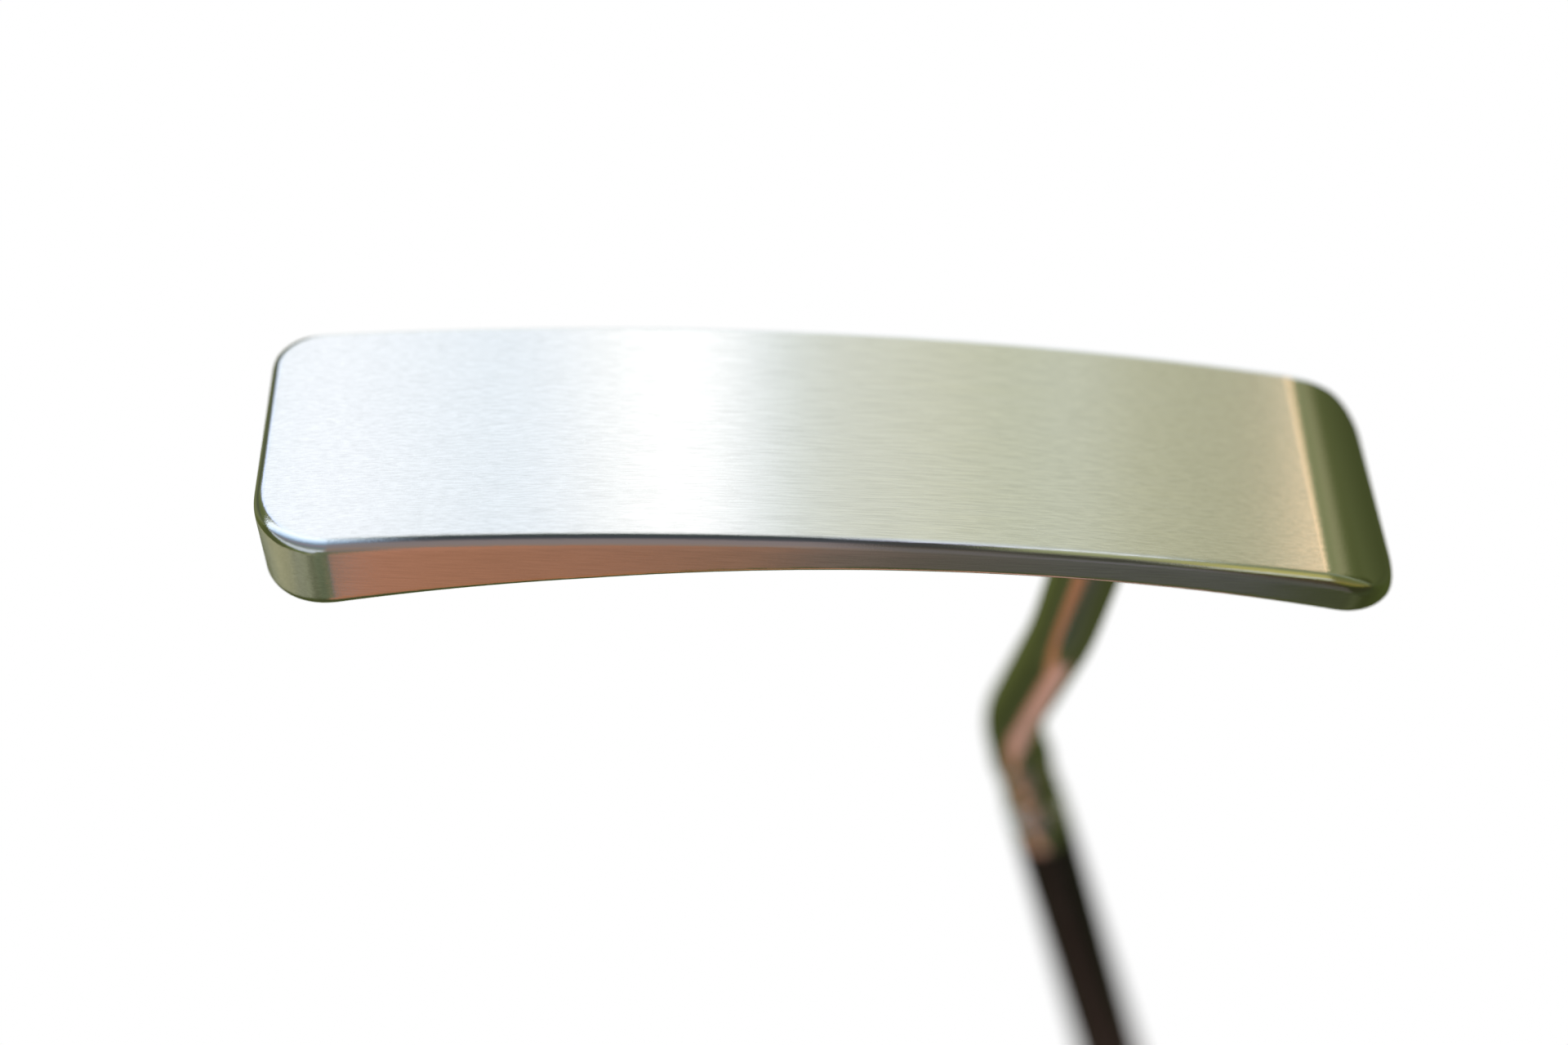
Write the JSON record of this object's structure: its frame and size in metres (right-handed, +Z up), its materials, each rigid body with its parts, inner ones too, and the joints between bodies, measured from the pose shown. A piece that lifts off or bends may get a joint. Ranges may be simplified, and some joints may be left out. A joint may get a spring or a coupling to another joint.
{
  "type": "blade putter",
  "caption": "Right-handed blade golf putter: cambered steel head with a scooped flange, bent ringed neck, black tapered shaft and flat-fronted pistol grip.",
  "frame": {"origin": "the lowest point of the sole, at mid length and mid depth of the head", "axes": "+X towards the toe, +Y towards the target (the way the face looks), +Z up with the club soled at address; the shaft leans towards the heel at its lie angle"},
  "size_m": [0.3723, 0.0439, 0.8156],
  "materials": {
    "head_steel": "lengthwise brushed sole and walls, polished rolled edges",
    "neck_steel": "mirror polished",
    "weld_steel": "dressed and polished",
    "shaft_black": "satin black",
    "epoxy": "cured epoxy",
    "tape": "matt crepe tape",
    "grip_rubber": "matt moulded rubber",
    "line_paint": "gloss paint fill"
  },
  "bodies": {
    "root": {"head": "head_steel", "neck": "neck_steel", "neck_weld": "weld_steel", "shaft": "shaft_black", "shaft_bond": "epoxy", "grip_tape": "tape", "grip": "grip_rubber", "grip_cap": "grip_rubber", "sight_line": "line_paint"}
  },
  "joints": []
}
